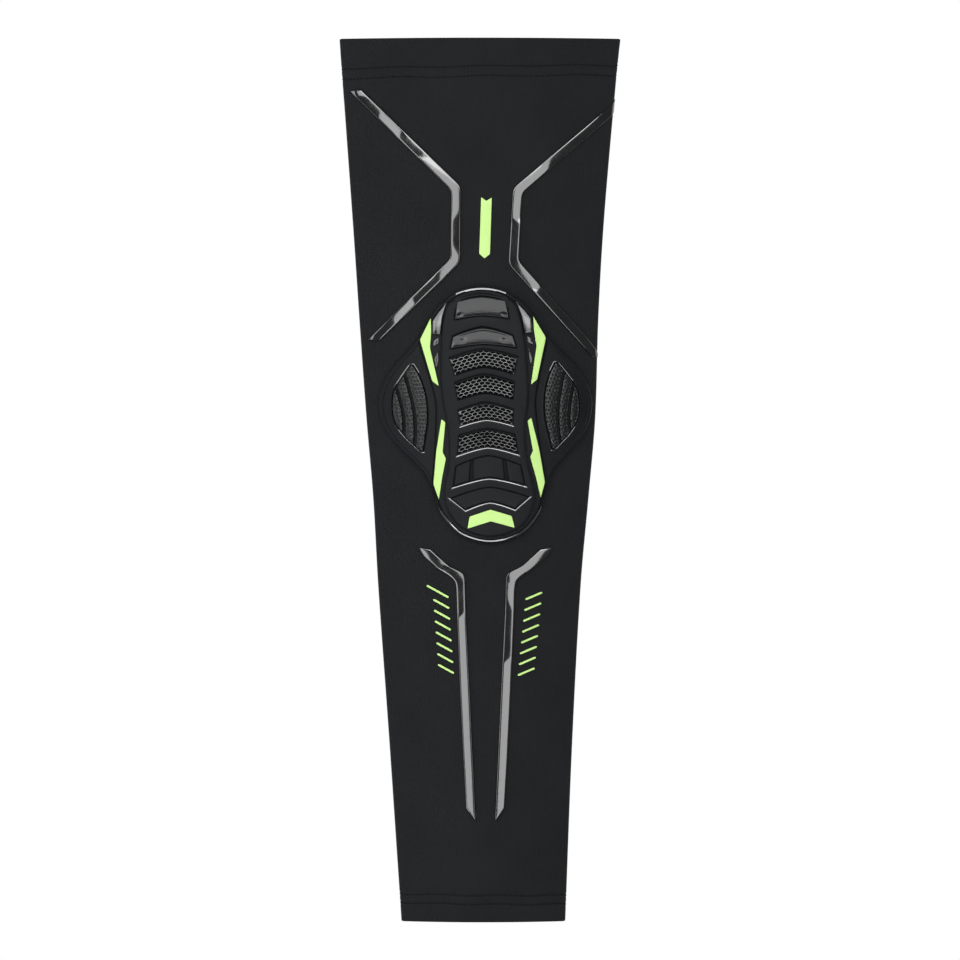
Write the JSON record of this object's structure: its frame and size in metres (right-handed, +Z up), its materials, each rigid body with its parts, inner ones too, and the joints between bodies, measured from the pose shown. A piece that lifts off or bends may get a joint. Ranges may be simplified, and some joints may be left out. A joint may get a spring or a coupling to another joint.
{
  "type": "padded elbow sleeve",
  "caption": "Tapered knitted arm sleeve lying flat, with a winged elbow pad of ribbed rubber, gloss film strips and lime accents; open at both ends.",
  "frame": {"origin": "under the middle of the sleeve, on the surface that it lies on", "axes": "+Y to the upper-arm opening, +X to the right as the pad is looked at, +Z up out of the pad"},
  "size_m": [0.1274, 0.4, 0.0255],
  "materials": {
    "sleeve_fabric": "matte stretch knit",
    "pad_rubber": "satin moulded",
    "textured_rubber": "moulded mesh texture",
    "gloss_rubber": "gloss",
    "gloss_film": "gloss film",
    "lime_film": "satin film"
  },
  "bodies": {
    "root": {"arrow": "lime_film", "block_panel_left": "pad_rubber", "block_panel_middle": "pad_rubber", "block_panel_right": "pad_rubber", "brow_panel": "gloss_rubber", "cap_panel": "gloss_rubber", "chevron": "lime_film", "dash_left_1": "lime_film", "dash_left_2": "lime_film", "dash_left_3": "lime_film", "dash_left_4": "lime_film", "dash_left_5": "lime_film", "dash_left_6": "lime_film", "dash_left_7": "lime_film", "dash_left_8": "lime_film", "dash_right_1": "lime_film", "dash_right_2": "lime_film", "dash_right_3": "lime_film", "dash_right_4": "lime_film", "dash_right_5": "lime_film", "dash_right_6": "lime_film", "dash_right_7": "lime_film", "dash_right_8": "lime_film", "flank_claw_left_1": "gloss_rubber", "flank_claw_left_2": "gloss_rubber", "flank_claw_right_1": "gloss_rubber", "flank_claw_right_2": "gloss_rubber", "flank_panel_left": "gloss_rubber", "flank_panel_right": "gloss_rubber", "honeycomb_panel_1": "textured_rubber", "honeycomb_panel_2": "textured_rubber", "honeycomb_panel_3": "textured_rubber", "honeycomb_panel_4": "textured_rubber", "lower_slash_left": "lime_film", "lower_slash_right": "lime_film", "lower_strip_left": "gloss_film", "lower_strip_right": "gloss_film", "pad_base": "pad_rubber", "pad_spine": "pad_rubber", "sleeve": "sleeve_fabric", "toe_panel": "pad_rubber", "upper_slash_left": "lime_film", "upper_slash_right": "lime_film", "upper_strip_left": "gloss_film", "upper_strip_right": "gloss_film", "wing_rib_left_1": "textured_rubber", "wing_rib_left_2": "textured_rubber", "wing_rib_left_3": "textured_rubber", "wing_rib_right_1": "textured_rubber", "wing_rib_right_2": "textured_rubber", "wing_rib_right_3": "textured_rubber"}
  },
  "joints": []
}
